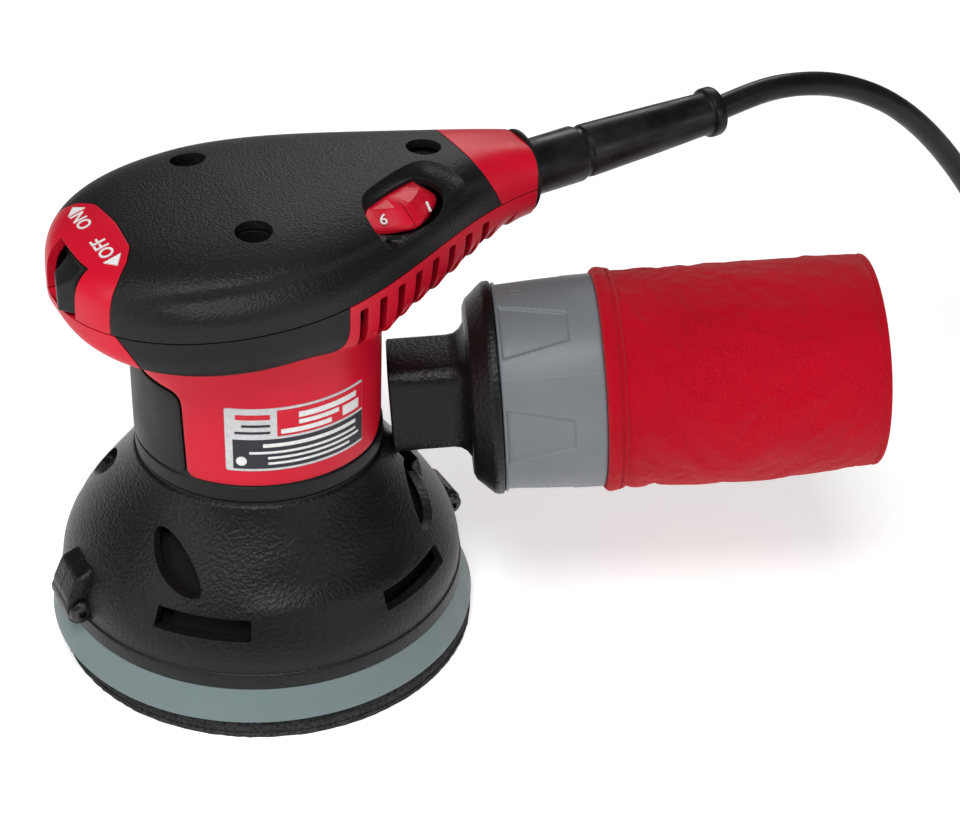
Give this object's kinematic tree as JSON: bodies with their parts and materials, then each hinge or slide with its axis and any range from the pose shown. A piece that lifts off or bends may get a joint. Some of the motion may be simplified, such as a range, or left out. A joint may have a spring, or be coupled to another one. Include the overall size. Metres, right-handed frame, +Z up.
{
  "type": "orbital sander",
  "caption": "Palm-grip random-orbit sander with a round hook-faced pad, vented shroud, twist-on cloth dust canister and mains cord.",
  "frame": {"origin": "on the motor axis at the pad's working face", "axes": "+Z up along the motor axis, +X towards the cord end, -Y the operator's left when holding the tool with the nose forwards"},
  "size_m": [0.4744, 0.1651, 0.1443],
  "materials": {
    "cover_black": "fine spark-eroded texture, satin",
    "housing_red": "satin moulded red plastic",
    "overmold_black": "soft-touch overmould",
    "shroud_black": "coarse spark-eroded texture",
    "inner_plastic": "moulded glass-filled nylon",
    "board_green": "circuit board",
    "rubber_black": "smooth rubber",
    "cord_rubber": "satin cord jacket",
    "steel": "machined steel",
    "copper": "enamelled copper",
    "brass": "brass",
    "label": "blank printed foil",
    "carbon": "pressed carbon",
    "pad_foam": "closed-cell foam",
    "hook": "hook-and-loop face",
    "skirt_grey": "semi-matt moulded rubber",
    "canister_grey": "slightly translucent grey plastic",
    "bag_cloth": "cotton twill"
  },
  "bodies": {
    "housing": {"top_cover": "cover_black", "nose_inlay": "housing_red", "rear_cap": "housing_red", "cover_screws": "steel", "handle_base": "housing_red", "grip_band": "overmold_black", "switch_body": "inner_plastic", "speed_pot": "inner_plastic", "speed_board": "board_green", "cord_clamp": "inner_plastic", "strain_relief": "rubber_black", "relief_ring": "overmold_black", "inner_cord": "cord_rubber", "switch_leads": "copper", "motor_housing": "housing_red", "housing_front_panel": "overmold_black", "housing_rear_panel": "overmold_black", "bottom_collar": "overmold_black", "rating_plate": "label", "stator_core": "steel", "field_coils": "copper", "brush_holders": "brass", "carbon_brushes": "carbon", "brush_springs": "steel", "upper_bracket": "inner_plastic", "upper_bearing": "steel", "bearing_plate": "inner_plastic", "lower_bearing": "steel", "shroud_left": "shroud_black", "shroud_right": "shroud_black", "shroud_screws": "steel", "dust_skirt": "skirt_grey", "dust_duct": "shroud_black", "cord": "cord_rubber", "cord_coil": "cord_rubber", "coil_tie": "cord_rubber", "plug": "cord_rubber", "plug_blades": "brass"},
    "rotor": {"motor_shaft": "steel", "armature_core": "steel", "armature_windings": "copper", "commutator": "copper", "cooling_fan": "inner_plastic", "counterweight": "steel", "pad_bearing": "steel"},
    "pad": {"pad_spindle": "steel", "spindle_screw": "steel", "pad_plate": "inner_plastic", "pad_foam": "pad_foam", "hook_face": "hook", "pad_screws": "steel"},
    "switch": {"switch_slider": "overmold_black", "switch_link": "inner_plastic"},
    "dial": {"speed_dial": "housing_red"},
    "seal_ring": {"canister_seal": "rubber_black"},
    "canister": {"canister_collar": "canister_grey", "bag_frame": "canister_grey", "dust_bag": "bag_cloth"}
  },
  "joints": [
    {"name": "motor_spin", "type": "hinge", "parent": "housing", "child": "rotor", "pos_m": [0, 0, 0.06], "axis": [0, 0, 1], "continuous": true},
    {"name": "pad_spin", "type": "hinge", "parent": "rotor", "child": "pad", "pos_m": [0.0012, 0, 0.02], "axis": [0, 0, 1], "continuous": true},
    {"name": "switch_slide", "type": "slide", "parent": "housing", "child": "switch", "axis": [0, 1, 0], "range_m": [0, 0.006]},
    {"name": "dial_turn", "type": "hinge", "parent": "housing", "child": "dial", "pos_m": [0.0315, -0.011, 0.138], "axis": [0, 0, 1], "range_deg": [-250, 0]},
    {"name": "canister_pull", "type": "slide", "parent": "housing", "child": "seal_ring", "axis": [0.9031, -0.4211, 0.0837], "range_m": [0, 0.03]},
    {"name": "canister_twist", "type": "hinge", "parent": "seal_ring", "child": "canister", "pos_m": [0, 0, 0.0722], "axis": [0.9031, -0.4211, 0.0837], "range_deg": [0, 25]}
  ]
}
